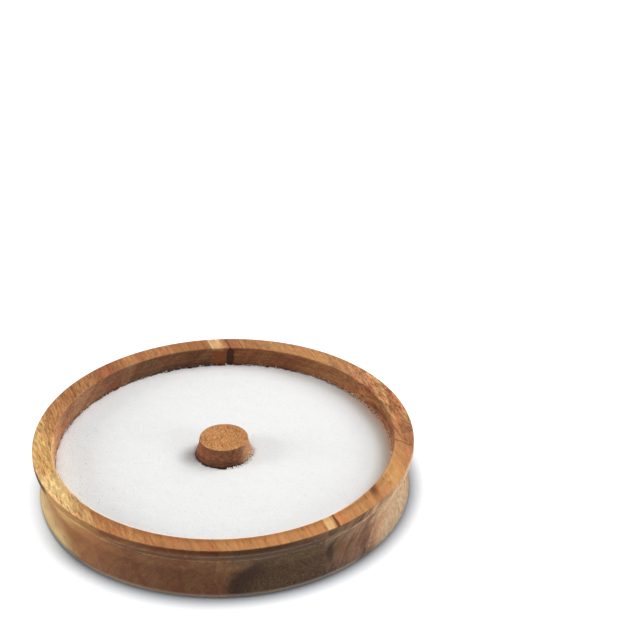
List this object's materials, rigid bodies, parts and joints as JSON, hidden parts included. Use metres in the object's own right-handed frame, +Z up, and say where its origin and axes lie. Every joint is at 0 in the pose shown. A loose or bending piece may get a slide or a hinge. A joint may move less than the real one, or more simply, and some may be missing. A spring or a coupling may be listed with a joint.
{
  "type": "cocktail glass rimmer",
  "caption": "Round turned acacia dish with a centre knob and a finger groove, filled with salt, for coating the rims of cocktail glasses.",
  "frame": {"origin": "centre of the flat resting face, on the dish's turned axis", "axes": "+Z up along the turned axis; +Y away from the viewer; +X to the viewer's right. The staves run 20.8 degrees off Y, turned anticlockwise seen from above"},
  "size_m": [0.15, 0.15, 0.0226],
  "materials": {
    "acacia_sapwood_stave": "sanded and lightly oiled sapwood, satin",
    "acacia_left_stave": "sanded and lightly oiled, satin",
    "acacia_centre_stave": "sanded and lightly oiled, satin",
    "acacia_right_stave": "sanded and lightly oiled, satin",
    "acacia_outer_right_stave": "sanded and lightly oiled, satin",
    "wood_glue": "thin dark film of cured wood glue, flush with the wood",
    "salt": "fine dry white salt, loose grains, matte with small glints"
  },
  "bodies": {
    "root": {"stave_left_edge": "acacia_sapwood_stave", "stave_left": "acacia_left_stave", "stave_centre": "acacia_centre_stave", "stave_right": "acacia_right_stave", "stave_right_edge": "acacia_outer_right_stave", "glue_line_left_edge": "wood_glue", "glue_line_left": "wood_glue", "glue_line_right": "wood_glue", "glue_line_right_edge": "wood_glue", "salt_bed": "salt"}
  },
  "joints": []
}
